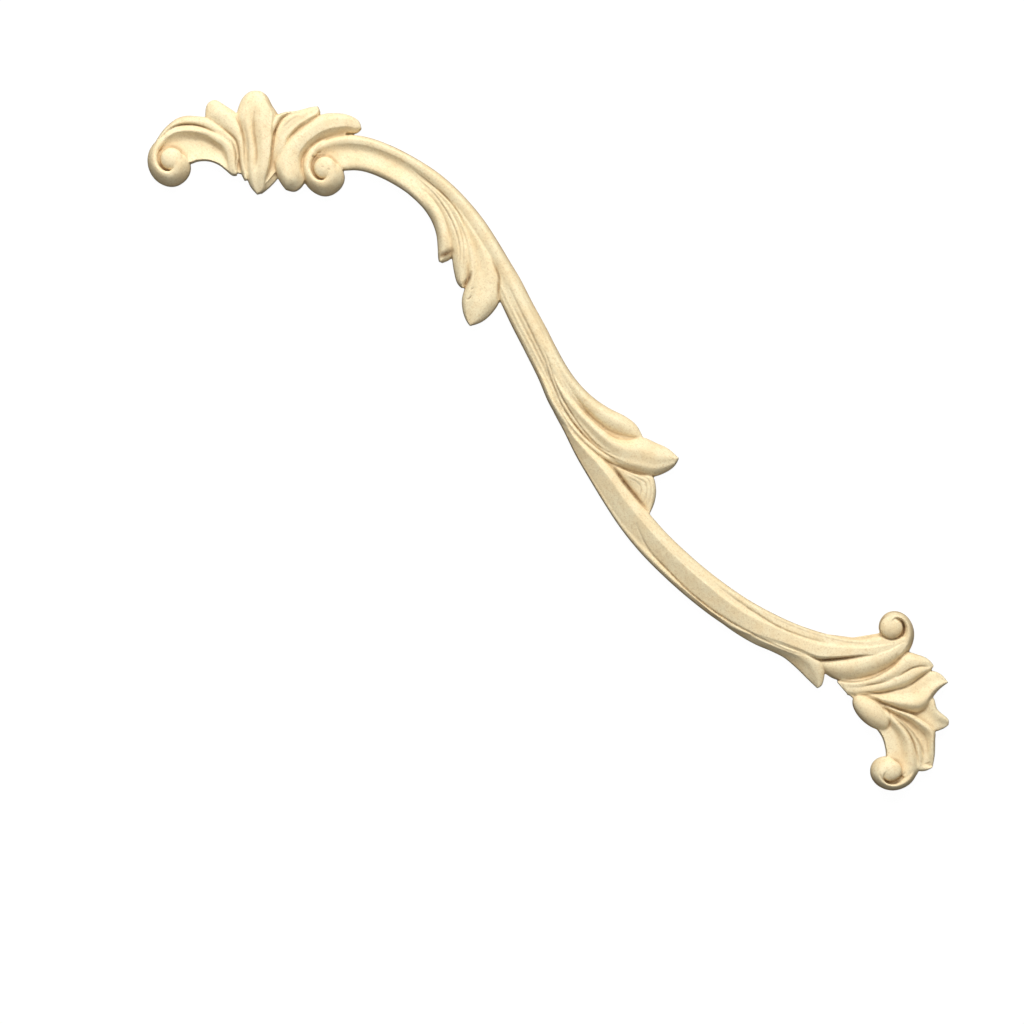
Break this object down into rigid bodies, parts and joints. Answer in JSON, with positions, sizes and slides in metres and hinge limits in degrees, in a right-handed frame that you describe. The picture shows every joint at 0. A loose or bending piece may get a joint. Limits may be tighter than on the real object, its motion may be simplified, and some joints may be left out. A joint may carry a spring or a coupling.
{
  "type": "carved scroll onlay",
  "caption": "Long flat-backed onlay moulded as a carved S-scroll, with leafy ends that turn back in volutes; glues to flat or gently curved woodwork.",
  "frame": {"origin": "on the flat back, under the middle of the stem", "axes": "+X along the onlay towards the end that carries the oval bead, +Y across it towards the first arc, +Z out of the carved face"},
  "size_m": [0.3799, 0.0714, 0.0087],
  "materials": {
    "wood_composite": "raw cream-coloured moulded wood-fibre composite, matte and unpainted"
  },
  "bodies": {
    "root": {"scroll_onlay": "wood_composite"}
  },
  "joints": []
}
